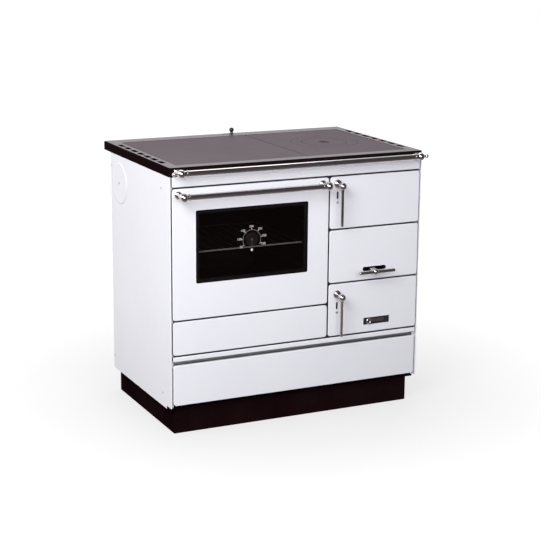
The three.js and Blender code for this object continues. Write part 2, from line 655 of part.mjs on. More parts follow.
function makeFireboxDoor() {
  const group = new THREE.Group();
  const rows = [lines.firebox + gap / 2, lines.fascia - gap / 2];
  part(group, "firebox_door_shell", sideDoorShell(rows, latches.firebox), "enamel");
  const plate = slab(rectangle([liner.left, liner.right], [rows[0] + 6, rows[1] - 6], 4), "front",
    [liner.front, liner.back]);
  const { left, right, bottom, top: height } = fireMouth;
  const shield = softSlab(rectangle([left + 8, right - 8], [bottom + 8, height - 8], 6), "front",
    [liner.back - 2, liner.back + 4.5], 1.5);
  part(group, "firebox_door_inner", join(plate, shield), "castIron");
  part(group, "firebox_door_seal", border([left - 14, right + 14], [bottom - 14, height + 14], 6,
    [liner.back + seat, casing.front - 0.6]), "rope");
  part(group, "firebox_latch", latch(latches.firebox), "chrome");
  stove.add(group);
}

function makeAshDoor() {
  const group = new THREE.Group();
  const rows = [lines.rail + gap / 2, lines.ash - gap / 2];
  const { left, right, bottom, top: height, knobX, z } = airSlide;
  const window = slab(rectangle([left, right], [bottom, height], 1.5), "front", [face - 5, face + 5], 2);
  part(group, "ash_door_shell", cut(sideDoorShell(rows, latches.ash), window), "enamel");
  const plate = slab(rectangle([liner.left, liner.right], [rows[0] + 6, rows[1] - 6], 4), "front",
    [liner.front, liner.back]);
  const airHoles = [0, 1, 2, 3].map((i) =>
    bar([knobX + 4 + i * 18, liner.front - 5, z], [knobX + 4 + i * 18, liner.back + 5, z], 5, 8));
  part(group, "ash_door_inner", cut(plate, ...airHoles), "castIron");
  part(group, "ash_latch", latch(latches.ash), "chrome");

  // The air slide: a strip that runs in the recess, moved by a round knob with a dished middle.
  const strip = slab(rectangle([knobX - 6, 319], [z - 6.5, z + 6.5], 2), "front", [face + 1.7, face + 3.2], 2);
  const ring = turned([[0, 0], [8, 0], [11.5, 2.5], [11.5, 5], [9, 7], [6, 5.5], [5, 2.5], [0, 2.5]],
    [knobX, face - 0.6, z], [0, -1, 0], 16);
  const neck = bar([knobX, face - 2, z], [knobX, face + 2.5, z], 4, 10);
  part(group, "air_slide", join(strip, neck, ring), "chrome");
  stove.add(group);
}

// One strip carries the four hinge tabs; the tabs stand in the gaps above and below the two doors.
function makeHingeStrip() {
  const { x, y, pin } = sideHinge;
  const back = casing.front - seat;
  const strip = block([x - 28, x - 10], [back - 2.5, back], [lines.rail - 6, lines.fascia + 6]);
  const tabs = [[lines.fascia, -1], [lines.firebox, 1], [lines.ash, -1], [lines.rail, 1]].flatMap(([z, way]) => [
    slab(rectangle([x - 28, x + 5], [y - 3.5, back], 3), "top", [z - 0.8, z + 0.8], 1),
    bar([x, y, z], [x, y, z + way * 9], pin, 8),
  ]);
  part(stove, "hinge_strip", join(strip, ...tabs), "steel");
}

// ---------------------------------------------------------------- firebox

function makeBricks() {
  const { left, right, front, back, floor, top: height, brick } = firebox;
  const low = floor + seat;
  const full = [front - brick, back + brick];
  const inner = [left + seat, right - seat];
  const stones = {
    firebrick_left: [[left - brick, left], full, [low, 740]],
    firebrick_right: [[right, right + brick], full, [low, height]],
    firebrick_front: [inner, [front - brick, front], [low, 645]],
    firebrick_rear: [inner, [back, back + brick], [low, height]],
  };
  for (const [name, [x, y, z]] of Object.entries(stones)) {
    part(stove, name, softSlab(rectangle(x, y, 4), "top", z, 3, 1), "firebrick");
  }
}

// Two rows of long slots, the same in the grate and in the slide under it.
function grateSlots(shift, z, end = 0) {
  const slots = [];
  for (let i = 0; i < 8; i++) {
    const x = 282.5 + shift + (i - 3.5) * 25;
    for (const y of [[-235, -96], [-80, 60]]) {
      slots.push(slab(rectangle([x - 6, x + 6], y, end), "top", z, 1));
    }
  }
  return slots;
}

function makeGrate() {
  const { left, right, front, back, floor } = firebox;
  const bed = [ashBox.top + seat, floor - seat];
  const frame = slab(rectangle([ashBox.left, ashBox.right], [-285, ashBox.back], 6), "top", bed);
  const opening = slab(rectangle([182, 383], [-243, 68], 6), "top", [bed[0] - 1, bed[1] + 1]);
  part(stove, "grate_frame", cut(frame, opening), "castIron");
  const grate = softSlab(rectangle([left + 2, right - 2], [front + 2, back - 2], 4), "top", [floor, floor + 10], 1, 1);
  part(stove, "grate", cut(grate, ...grateSlots(0, [floor - 1, floor + 11], 6)), "castIron");
}

// The slide under the grate shakes the ash down; a rod joins it to the T-handle at the front.
function makeShaker() {
  const group = new THREE.Group();
  const { x, z } = shaker;
  const slide = [ashBox.top - 8.7, ashBox.top - 2.7];
  const rodRadius = 4.3;
  const rodEnd = -195;
  const plate = slab(rectangle([168, 354], [-246, 70], 3), "top", slide);
  const lug = block([x - 8, x + 8], [rodEnd - 20, rodEnd + 5], [z - 7, slide[0] + 1]);
  const bore = bar([x, rodEnd - 25, z], [x, rodEnd, z], rodRadius + seat, 10);
  const slots = grateSlots(-21.5, [slide[0] - 1, slide[1] + 1]);
  part(group, "grate_slide", join(cut(plate, ...slots), lug).subtract(bore), "castIron");
  const reach = -342;
  const handle = join(
    bar([x, reach, z], [x, rodEnd - seat, z], rodRadius, 8),
    turned([[0, 0], [7, 0], [9.5, 5], [7, 10], [0, 10]], [x, reach + 9, z], [0, 1, 0], 12),
    ball([x, reach, z - 1.5], 10.5, 10),
    bar([x - 60, reach, z - 2], [x + 74, reach, z - 2], 5.2, 10),
  );
  part(group, "shaker_handle", handle, "chrome");
  stove.add(group);
}

// ---------------------------------------------------------------- ash compartment and drawer

function makeAshCompartment() {
  const { left, right, bottom, top: height, back, sheet: s } = ashBox;
  const front = casing.front + 3 + seat;
  const shell = block([left, right], [front, back], [bottom, height]);
  const room = block([left + s, right - s], [front - 1, back - s], [bottom + s, height + 1]);
  const railTop = height - 9;
  const rails = [[-262, -236], [60, 86]].map((y) => block([left + 1, right - 1], y, [railTop - 3, railTop]));
  part(stove, "ash_box", join(cut(shell, room), ...rails), "steel");

  const floor = bottom + s + seat;
  const tray = block([176, 389], [-280, 95], [floor, 375]);
  const hollow = block([178, 387], [-278, 93], [floor + 2, 376]);
  const grip = block([240, 325], [-289, -279], [343, 347]);
  part(stove, "ash_pan", join(cut(tray, hollow), grip), "zinc");
}

function makeDrawer() {
  const group = new THREE.Group();
  const { bottom, top: height, halfWidth: x, back } = drawer;
  part(group, "drawer_front", frontPan([-drawer.frontHalf, drawer.frontHalf], [bottom, height]), "enamel");
  const front = face + pan.depth + seat;
  const floor = drawer.bottom + 7 + seat;
  const tray = block([-x, x], [front, back], [floor, floor + drawer.height]);
  const hollow = block([-x + sheet, x - sheet], [front + sheet, back - sheet], [floor + sheet, height]);
  part(group, "drawer_tray", cut(tray, hollow), "zinc");
  stove.add(group);
}

makePlinth();
makeSides();
makeRear();
makeBase();
makeFrontPlate();
makePartition();
makeFrontPanels();
makeTopFrame();
makeHotplates();
makeTowelRail();
makeDamper();
makeOven();
makeOvenDoor();
makeFireboxDoor();
makeAshDoor();
makeHingeStrip();
makeBricks();
makeGrate();
makeShaker();
makeAshCompartment();
makeDrawer();

// The oven handle reaches furthest forward and the top frame furthest back.
const reach = ovenHandle.ball - ovenHandle.y;
stove.position.y = (reach - top.halfDepth) / 2;

const assembly = new THREE.Group();
assembly.add(stove);

export default assembly;
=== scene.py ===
# The look of a white wood cookstove: enamelled doors and sides, a dark cast frame with ground hotplates,
# chromed rails and latches, and a dark oven window. Lengths are in millimetres in the stove's own place,
# with Y = 0 at the middle of the top frame; set_down() brings a finished mesh to the frame, in metres. The
# camera, the floor and the lamps are in metres from the start.
import json
import math

import bmesh
import bpy
from mathutils import Matrix, Vector


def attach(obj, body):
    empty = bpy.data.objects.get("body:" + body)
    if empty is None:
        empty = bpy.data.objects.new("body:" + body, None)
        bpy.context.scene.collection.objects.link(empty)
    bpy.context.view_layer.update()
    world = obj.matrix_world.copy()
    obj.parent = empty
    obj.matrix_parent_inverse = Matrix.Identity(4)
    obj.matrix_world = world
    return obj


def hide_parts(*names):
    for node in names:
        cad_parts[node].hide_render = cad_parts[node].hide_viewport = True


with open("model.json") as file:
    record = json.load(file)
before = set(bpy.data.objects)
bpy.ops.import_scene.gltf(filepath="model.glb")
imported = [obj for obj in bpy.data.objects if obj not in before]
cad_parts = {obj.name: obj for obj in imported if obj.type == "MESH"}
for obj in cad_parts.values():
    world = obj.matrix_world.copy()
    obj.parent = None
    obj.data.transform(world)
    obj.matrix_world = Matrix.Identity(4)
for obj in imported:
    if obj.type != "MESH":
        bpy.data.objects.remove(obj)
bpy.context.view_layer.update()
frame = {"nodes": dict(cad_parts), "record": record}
nodes = frame["nodes"]

MM = 0.001
TO_FRAME = Matrix.Translation((0, 0.0305, 0)) @ Matrix.Scale(MM, 4)

# ------------------------------------------------------------------ sizes, as the stove is built

FACE = -302
# The gap lines between the panels: COLUMN is a place along X, the others are heights.
HALF_GAP = 2.6
COLUMN, FASCIA, FIREBOX, ASH, RAIL, OVEN = 105.4, 806, 629, 448, 267, 381
FASCIA_TOP, RAIL_FOOT = 841, 249
DRAWER_Z = (103, 236)
SIDE, DRAWER_SIDE, CASING = 441.5, 440, 449

# The white enamel reaches round the fold and a little way down a panel's flange.
PAN_DEPTH, PAN_SHEET, SOFT_EDGE = 9, 1.5, 2.5
WHITE_DEPTH, DRAWER_WHITE_DEPTH = 3.2, 8.6
PANEL_CORNER, STRIP_CORNER = 9, 3.5

TOP_X, TOP_Y, TOP_Z = 450, 300, 870
TOP_CORNER, TOP_SHOULDER, TOP_SKIRT, TOP_WALL = 6, 4, 28.7, 4
WELL_X, WELL_Y, WELL_DEPTH, WELL_LEDGE = 410, (-259, 236), 11, 12
VENT_X, VENT_FIRST_Y, VENT_STEP, VENTS_A_SIDE = 431, -187, 60, 7
VENT_HALF_X, VENT_HALF_Y, VENT_DEPTH = 8.5, 21.5, 12
DAMPER_SLOT_X, DAMPER_SLOT_Y = (-14, 24), (281, 289)

LEFT_PLATE_X, RIGHT_PLATE_X = (-407, 48.2), (51.8, 407)
PLATE_Y, PLATE_THICK, PLATE_DROP, PLATE_EDGE = (-256, 233), 10, 0.4, 1.5
RING_CENTRE, RING_HOLE = (235, -8), 115.6
LID_WELL = 17.4

# Places on the front are (X, Z), on the top (X, Y) and on the sides (Y, Z).
WINDOW_X, WINDOW_Z = (-363, 28), (498, 732)
SHAKER_SLOT_X, SHAKER_SLOT_Z = (233, 321), (480, 494)
SLIDE_WINDOW_X, SLIDE_WINDOW_Z = (240, 338), (295, 319)
THERMOMETER = (-171, 624)
FIREBOX_LATCH = (134, 780.6)
ASH_LATCH = (138.7, 410.5)
SHAKER = (259, 486)
AIR_KNOB, AIR_STRIP_X = (258, 307.5), (252, 319)
DAMPER_KNOB = (20, 285)
SIDE_OUTLET = (148, 749)
SIDE_SCREWS = ((222, 798), (-228, 797), (222, 130), (-228, 130))

# ------------------------------------------------------------------ camera, in metres

VIEW_AZIMUTH, VIEW_ELEVATION, VIEW_ROLL = -25.602, 13.660, 0.454
VIEW_SPOT = (-2.1206, -4.4750, 1.6502)
FOCAL_PIXELS, PHOTO_PIXELS, SENSOR = 1496.94, 540, 36


def new_object(name, data):
    """An object of its own in the scene."""
    made = bpy.data.objects.new(name, data)
    bpy.context.scene.collection.objects.link(made)
    return made


def photo_camera():
    """The camera of the photograph, from its fitted place, direction and roll."""
    azimuth, elevation, roll = (math.radians(v) for v in (VIEW_AZIMUTH, VIEW_ELEVATION, VIEW_ROLL))
    away = Vector((math.sin(azimuth) * math.cos(elevation), -math.cos(azimuth) * math.cos(elevation),
                   math.sin(elevation)))
    level = (-away).cross(Vector((0, 0, 1))).normalized()
    upright = level.cross(-away)
    right = level * math.cos(roll) + upright * math.sin(roll)
    up = upright * math.cos(roll) - level * math.sin(roll)
    lens = bpy.data.cameras.new("photo_camera")
    lens.sensor_width = SENSOR
    lens.lens = FOCAL_PIXELS / PHOTO_PIXELS * SENSOR
    lens.clip_end = 100
    camera = new_object("photo_camera", lens)
    place = Matrix((right, up, away)).transposed().to_4x4()
    place.translation = Vector(VIEW_SPOT)
    camera.matrix_world = place
    bpy.context.scene.camera = camera


photo_camera()

# ------------------------------------------------------------------ finishes

NUMBER, COLOUR, VECTOR = "NodeSocketFloat", "NodeSocketColor", "NodeSocketVector"
PATCH_LEVELS, GRAIN_LEVELS = (0.32, 0.68), (0.3, 0.7)
COAT_ROUGHNESS = 0.08
GLASS_ALPHA, GLASS_IOR = 0.38, 1.5


def new_node(tree, kind, values=()):
    """A shader node, with the values of those inputs that aren't linked."""
    node = tree.nodes.new("ShaderNode" + kind)
    for socket, value in dict(values).items():
        node.inputs[socket].default_value = value
    return node


def math_node(tree, operation, first, second):
    """What a Math node makes of two linked values."""
    node = new_node(tree, "Math")
    node.operation = operation
    tree.links.new(first, node.inputs[0])
    tree.links.new(second, node.inputs[1])
    return node.outputs["Value"]


def levels_node(tree, value, start, end, values=()):
    """A linked value whose range from start to end is spread from 0 to 1, or as the values say."""
    node = new_node(tree, "MapRange", {"From Min": start, "From Max": end, **dict(values)})
    tree.links.new(value, node.inputs["Value"])
    return node


def shared_effect(name, inputs, outputs):
    """Starts a node group. Returns it, what it is given, what it puts out and the object's own coordinates."""
    tree = bpy.data.node_groups.new(name, "ShaderNodeTree")
    for title, kind, value in inputs:
        socket = tree.interface.new_socket(name=title, in_out="INPUT", socket_type=kind)
        socket.default_value = value
    for title, kind in outputs:
        tree.interface.new_socket(name=title, in_out="OUTPUT", socket_type=kind)
    where = new_node(tree, "TexCoord").outputs["Object"]
    return tree, tree.nodes.new("NodeGroupInput").outputs, tree.nodes.new("NodeGroupOutput").inputs, where


def cloudy_tone():
    """Soft patches of two tones, as in fired enamel or cast metal."""
    tree, given, out, where = shared_effect("cloudy_tone", [
        ("Tone", COLOUR, (1, 1, 1, 1)), ("Second Tone", COLOUR, (0, 0, 0, 1)), ("Patch Scale", NUMBER, 4),
        ("Fine Scale", NUMBER, 60), ("Fine Share", NUMBER, 0.3)], [("Color", COLOUR)])
    link = tree.links.new
    both = new_node(tree, "Mix")
    for detail, scale, socket in ((3, "Patch Scale", "A"), (5, "Fine Scale", "B")):
        noise = new_node(tree, "TexNoise", {"Detail": detail})
        link(where, noise.inputs["Vector"])
        link(given[scale], noise.inputs["Scale"])
        link(noise.outputs["Fac"], both.inputs[socket])
    link(given["Fine Share"], both.inputs["Factor"])
    spread = levels_node(tree, both.outputs["Result"], *PATCH_LEVELS)
    tones = new_node(tree, "Mix")
    tones.data_type = "RGBA"
    link(spread.outputs["Result"], tones.inputs["Factor"])
    link(given["Tone"], tones.inputs["A"])
    link(given["Second Tone"], tones.inputs["B"])
    link(tones.outputs["Result"], out["Color"])
    return tree


def fine_relief():
    """A fine uneven surface: its height and a roughness that follows it."""
    tree, given, out, where = shared_effect("fine_relief", [
        ("Scale", NUMBER, 300), ("Stretch", VECTOR, (1, 1, 1)), ("Smoothest", NUMBER, 0.2),
        ("Roughest", NUMBER, 0.3)], [("Height", NUMBER), ("Roughness", NUMBER)])
    link = tree.links.new
    stretch = new_node(tree, "VectorMath")
    stretch.operation = "MULTIPLY"
    link(where, stretch.inputs[0])
    link(given["Stretch"], stretch.inputs[1])
    grain = new_node(tree, "TexNoise", {"Detail": 4})
    link(stretch.outputs["Vector"], grain.inputs["Vector"])
    link(given["Scale"], grain.inputs["Scale"])
    levels = levels_node(tree, grain.outputs["Fac"], *GRAIN_LEVELS)
    link(given["Smoothest"], levels.inputs["To Min"])
    link(given["Roughest"], levels.inputs["To Max"])
    link(grain.outputs["Fac"], out["Height"])
    link(levels.outputs["Result"], out["Roughness"])
    return tree


CLOUDY = cloudy_tone()
RELIEF = fine_relief()
FINISHES = {}


def effect_node(tree, effect, values):
    """A shared effect placed in a material with values of its own."""
    node = tree.nodes.new("ShaderNodeGroup")
    node.node_tree = effect
    for socket, value in values.items():
        node.inputs[socket].default_value = value
    return node


def finish(name, tone, second, patch=4, fine=60, share=0.3, metal=0.0, rough=(0.2, 0.3), grain=300,
           stretch=(1, 1, 1), height=0.0, coat=0.0, specular=0.5):
    """A material of two tones in patches, with a fine relief of a height in millimetres. Returns its shader."""
    material = FINISHES[name] = bpy.data.materials.new(name)
    material.use_nodes = True
    tree = material.node_tree
    shader = tree.nodes["Principled BSDF"]
    colour = effect_node(tree, CLOUDY, {"Tone": (*tone, 1), "Second Tone": (*second, 1), "Patch Scale": patch,
                                        "Fine Scale": fine, "Fine Share": share})
    relief = effect_node(tree, RELIEF, {"Scale": grain, "Stretch": stretch, "Smoothest": rough[0],
                                        "Roughest": rough[1]})
    tree.links.new(colour.outputs["Color"], shader.inputs["Base Color"])
    tree.links.new(relief.outputs["Roughness"], shader.inputs["Roughness"])
    if height:
        bump = new_node(tree, "Bump", {"Strength": 1, "Distance": height * MM})
        tree.links.new(relief.outputs["Height"], bump.inputs["Height"])
        tree.links.new(bump.outputs["Normal"], shader.inputs["Normal"])
    shader.inputs["Metallic"].default_value = metal
    shader.inputs["Coat Weight"].default_value = coat
    shader.inputs["Coat Roughness"].default_value = COAT_ROUGHNESS
    shader.inputs["Specular IOR Level"].default_value = specular
    return shader


def dark_glass():
    shader = finish("glass", (0.003, 0.0015, 0.0015), (0.005, 0.003, 0.003), patch=3, fine=40,
                    rough=(0.03, 0.06), grain=60, specular=0.1)
    shader.inputs["IOR"].default_value = GLASS_IOR
    shader.inputs["Alpha"].default_value = GLASS_ALPHA


finish("white_enamel", (0.775, 0.772, 0.825), (0.745, 0.742, 0.800), patch=3, fine=25, share=0.2,
       rough=(0.10, 0.16), grain=160, height=0.02, coat=0.25)
finish("frame_enamel", (0.007, 0.003, 0.004), (0.011, 0.006, 0.006), patch=5, fine=90,
       rough=(0.22, 0.32), grain=420, height=0.04, specular=0.0)
finish("plinth_paint", (0.007, 0.002, 0.003), (0.011, 0.005, 0.006), patch=6, fine=120,
       rough=(0.42, 0.55), grain=500, height=0.06, specular=0.0)
finish("hotplate_iron", (0.084, 0.062, 0.076), (0.110, 0.084, 0.100), patch=4, fine=150, share=0.45,
       metal=0.2, rough=(0.44, 0.56), grain=900, height=0.05, specular=0.04)
finish("cast_iron", (0.050, 0.046, 0.045), (0.085, 0.078, 0.074), patch=14, fine=260, share=0.5,
       metal=0.4, rough=(0.55, 0.75), grain=650, height=0.25, specular=0.3)
finish("plain_steel", (0.050, 0.050, 0.055), (0.080, 0.080, 0.086), patch=5, fine=80, metal=0.7,
       rough=(0.36, 0.50), grain=260, stretch=(0.08, 1, 1), height=0.04)
finish("oven_enamel", (0.005, 0.003, 0.0035), (0.009, 0.007, 0.0075), patch=60, fine=500, share=0.4,
       rough=(0.28, 0.40), grain=240, height=0.03, specular=0.15)
finish("zinc", (0.36, 0.37, 0.39), (0.45, 0.46, 0.48), patch=16, fine=130, share=0.35, metal=0.9,
       rough=(0.34, 0.46), grain=120, height=0.03)
finish("chrome", (0.62, 0.59, 0.59), (0.56, 0.53, 0.53), patch=20, fine=200, metal=1.0,
       rough=(0.05, 0.10), grain=500)
finish("black_knob", (0.012, 0.011, 0.011), (0.020, 0.018, 0.018), patch=30, fine=300,
       rough=(0.16, 0.26), grain=700, height=0.03, specular=0.35)
finish("firebrick", (0.52, 0.40, 0.25), (0.34, 0.26, 0.17), patch=18, fine=160, share=0.5,
       rough=(0.85, 0.98), grain=420, height=0.7, specular=0.2)
finish("seal_rope", (0.46, 0.43, 0.37), (0.30, 0.28, 0.24), patch=120, fine=500, share=0.5,
       rough=(0.9, 1.0), grain=500, height=0.8, specular=0.1)
finish("ground_coat", (0.020, 0.020, 0.026), (0.034, 0.033, 0.040), patch=20, fine=400,
       rough=(0.35, 0.50), grain=500, height=0.03, specular=0.2)
finish("deck_iron", (0.104, 0.082, 0.096), (0.134, 0.108, 0.124), patch=4, fine=170, share=0.45,
       metal=0.3, rough=(0.30, 0.40), grain=900, height=0.04, specular=0.3)
finish("dial_grey", (0.20, 0.18, 0.18), (0.15, 0.13, 0.13), patch=60, fine=300, rough=(0.45, 0.60),
       grain=400, specular=0.2)
finish("dial_white", (0.66, 0.64, 0.63), (0.56, 0.54, 0.53), patch=60, fine=300, rough=(0.45, 0.60),
       grain=400, specular=0.2)
finish("dial_brown", (0.007, 0.004, 0.004), (0.012, 0.007, 0.007), patch=40, fine=300,
       rough=(0.30, 0.42), grain=500, specular=0.2)
# A pale finish worn only by the rack's front wire: a painted highlight for the light that wire catches through
# the glass.
finish("rack_rim_painted_highlight", (0.80, 0.78, 0.77), (0.70, 0.68, 0.67), patch=30, fine=300, metal=0.2,
       rough=(0.30, 0.40), grain=500)
finish("slide_brown", (0.090, 0.068, 0.068), (0.125, 0.098, 0.098), patch=30, fine=220, metal=0.5,
       rough=(0.34, 0.46), grain=420, height=0.03, specular=0.3)
dark_glass()

PAINTED_DARK = {"ash_door_inner": "ground_coat", "base_plate": "plinth_paint"}
for row in frame["record"]["subparts"]:
    node = nodes[row["node"]]
    node.data.materials.clear()
    node.data.materials.append(FINISHES[PAINTED_DARK.get(row["node"], row["material_slot"])])

# ------------------------------------------------------------------ shapes

MERGE = 0.0005
SQUARE_ON = 0.9
SHARP_FROM, SOFTENED_FROM, FOLD_FROM = math.radians(38), math.radians(40), 1
FORWARD, UP = (0, -1, 0), (0, 0, 1)


def front_corners(x, z):
    """The corners of an upright rectangle on the stove's front."""
    return [(x[0], FACE, z[0]), (x[1], FACE, z[0]), (x[1], FACE, z[1]), (x[0], FACE, z[1])]


def flat_corners(x, y, z):
    """The corners of a level rectangle."""
    return [(x[0], y[0], z), (x[1], y[0], z), (x[1], y[1], z), (x[0], y[1], z)]


def only(geom, kind):
    """What an operator gives back, of one kind: its vertices, edges or faces."""
    return [g for g in geom if isinstance(g, kind)]


def aimed(spot, direction):
    """The place of a shape that is made along Z and looks in a direction from a spot."""
    return Matrix.Translation(spot) @ Vector(direction).to_track_quat("Z", "Y").to_matrix().to_4x4()


def draw_loop(bm, corners, radius, segments=6):
    """A closed loop of edges through the corners, each rounded to the radius."""
    before = set(bm.edges)
    verts = [bm.verts.new(corner) for corner in corners]
    bm.faces.new(verts)
    bmesh.ops.bevel(bm, geom=verts, offset=radius, offset_type="OFFSET", segments=segments, profile=0.5,
                    affect="VERTICES", material=-1)
    patch = next(f for f in bm.faces if not any(e in before for e in f.edges))
    bmesh.ops.delete(bm, geom=[patch], context="FACES_ONLY")


def draw_circle(bm, centre, radius, facing, segments):
    bmesh.ops.create_circle(bm, cap_ends=False, radius=radius, segments=segments, matrix=aimed(centre, facing))


def fill(bm, normal):
    """Fills the drawn loops as one sheet, with a hole in every loop that lies inside another."""
    filled = bmesh.ops.triangle_fill(bm, use_beauty=True, use_dissolve=False, edges=bm.edges[:],
                                     normal=Vector(normal))
    return only(filled["geom"], bmesh.types.BMFace)


def fold(bm, edges, step):
    """Folds a flange: the edges are drawn out along the step. Returns the new outer edges."""
    drawn = bmesh.ops.extrude_edge_only(bm, edges=edges)["geom"]
    bmesh.ops.translate(bm, vec=Vector(step), verts=only(drawn, bmesh.types.BMVert))
    return only(drawn, bmesh.types.BMEdge)


def thicken(bm, faces, step):
    """Makes a flat sheet solid: its faces are drawn out along the step."""
    drawn = bmesh.ops.extrude_face_region(bm, geom=faces)["geom"]
    bmesh.ops.translate(bm, vec=step, verts=only(drawn, bmesh.types.BMVert))


def face_outwards(bm, axis, sign):
    """Turns a folded sheet so that its largest face looks along an axis, 1 for Y or 2 for Z."""
    bmesh.ops.recalc_face_normals(bm, faces=bm.faces)
    largest = max((f for f in bm.faces if abs(f.normal[axis]) > SQUARE_ON), key=lambda f: f.calc_area())
    if largest.normal[axis] * sign < 0:
        bmesh.ops.reverse_faces(bm, faces=bm.faces)


def folded_edges(bm):
    """The edges where a sheet is folded sharply."""
    return [e for e in bm.edges if len(e.link_faces) == 2 and e.calc_face_angle() > FOLD_FROM]


def round_edges(bm, edges, radius, segments):
    bmesh.ops.bevel(bm, geom=edges, offset=radius, offset_type="OFFSET", segments=segments, profile=0.5,
                    affect="EDGES", material=-1)


def turn(bm, profile, start, direction, steps=40):
    """A turned shape: the profile is (radius, distance along the axis)."""
    before = set(bm.verts)
    verts = [bm.verts.new((radius, 0, distance)) for radius, distance in profile]
    edges = [bm.edges.new(pair) for pair in zip(verts, verts[1:])]
    bmesh.ops.spin(bm, geom=verts + edges, cent=(0, 0, 0), axis=UP, dvec=(0, 0, 0), angle=2 * math.pi,
                   steps=steps, use_merge=True, use_duplicate=False)
    bmesh.ops.remove_doubles(bm, verts=[v for v in bm.verts if v not in before], dist=MERGE)
    bmesh.ops.transform(bm, matrix=aimed(start, direction), verts=[v for v in bm.verts if v not in before])


def rod(bm, start, end, radius, steps=28, chamfer=0.5):
    along = Vector(end) - Vector(start)
    length = along.length
    turn(bm, [(0, 0), (radius - chamfer, 0), (radius, chamfer), (radius, length - chamfer),
              (radius - chamfer, length), (0, length)], start, along, steps)


def ball(bm, centre, radius, segments=32):
    bmesh.ops.create_uvsphere(bm, u_segments=segments, v_segments=segments // 2, radius=radius,
                              matrix=Matrix.Translation(centre))


def bar(bm, x, y, z, rounding, segments):
    """A straight bar with rounded edges, between two values on each axis."""
    made = bmesh.ops.create_cube(bm, size=1)["verts"]
    bmesh.ops.scale(bm, vec=[high - low for low, high in (x, y, z)], verts=made)
    bmesh.ops.translate(bm, vec=Vector([(low + high) / 2 for low, high in (x, y, z)]), verts=made)
    round_edges(bm, list({e for v in made for e in v.link_edges}), rounding, segments)


def evaluated_mesh(holder):
    """The mesh that an object shows, with its modifiers or its text made part of it."""
    bpy.context.view_layer.update()
    return bpy.data.meshes.new_from_object(holder.evaluated_get(bpy.context.evaluated_depsgraph_get()))


def set_down(bm, name, body, material, stands_for=(), second=None, wall=0.0, back_slot=0,
             rounding=0.0):
    """Makes the finished mesh a piece of the stove that rides on a body.

    A wall gives a sheet its thickness in millimetres, and back_slot is how many material slots further its
    back and rim are. A rounding softens the edges of a solid shape."""
    if not wall:
        bmesh.ops.recalc_face_normals(bm, faces=bm.faces)
    bm.transform(TO_FRAME)
    mesh = bpy.data.meshes.new(name)
    bm.to_mesh(mesh)
    bm.free()
    piece = new_object(name, mesh)
    mesh.materials.append(FINISHES[material])
    if second:
        mesh.materials.append(FINISHES[second])
    if wall:
        thick = piece.modifiers.new("sheet", "SOLIDIFY")
        thick.material_offset = thick.material_offset_rim = back_slot
        thick.thickness = wall * MM
        thick.offset = -1
        thick.use_even_offset = True
    if rounding:
        soft = piece.modifiers.new("soft edges", "BEVEL")
        soft.width = rounding * MM
        soft.segments = 2
        soft.limit_method = "ANGLE"
        soft.angle_limit = SOFTENED_FROM
    if piece.modifiers:
        finished = evaluated_mesh(piece)
        piece.modifiers.clear()
        piece.data = finished
    piece.data.shade_smooth()
    piece.data.set_sharp_from_angle(angle=SHARP_FROM)
    even = piece.modifiers.new("even shading", "WEIGHTED_NORMAL")
    even.keep_sharp = True
    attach(piece, body)
    if stands_for:
        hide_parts(*stands_for)


# ------------------------------------------------------------------ enamelled panels


def folded_panel(name, body, x, z, stands_for, holes=(), corner=PANEL_CORNER, white=WHITE_DEPTH):
    """A front panel folded from one sheet: a flat face with soft edges and a flange all round."""
    bm = bmesh.new()
    draw_loop(bm, front_corners(x, z), corner, segments=8)
    for hole in holes:
        hole(bm)
    fill(bm, FORWARD)
    near_edge = corner * 0.3 + 0.01
    rim = [e for e in bm.edges if len(e.link_faces) == 1 and all(
        min(abs(v.co.x - x[0]), abs(v.co.x - x[1]), abs(v.co.z - z[0]), abs(v.co.z - z[1])) < near_edge
        for v in e.verts)]
    bend = fold(bm, rim, (0, white, 0))
    shown = set(bm.faces)
    fold(bm, bend, (0, PAN_DEPTH - white, 0))
    for flange in (f for f in bm.faces if f not in shown):
        flange.material_index = 1
    face_outwards(bm, 1, -1)
    round_edges(bm, folded_edges(bm), SOFT_EDGE, segments=4)
    set_down(bm, name, body, "white_enamel", stands_for, second="ground_coat", wall=PAN_SHEET, back_slot=1)


def slot_hole(x, z, radius):
    return lambda bm: draw_loop(bm, front_corners(x, z), radius)


def latch_holes(x, z):
    """The holes in a door's sheet for its latch: one for the pin and a short slot under it."""
    return (lambda bm: draw_circle(bm, (x, FACE, z), radius=3.9, facing=FORWARD, segments=32),
            slot_hole((x - 3.2, x + 3.2), (z - 50, z - 25), radius=3.1))


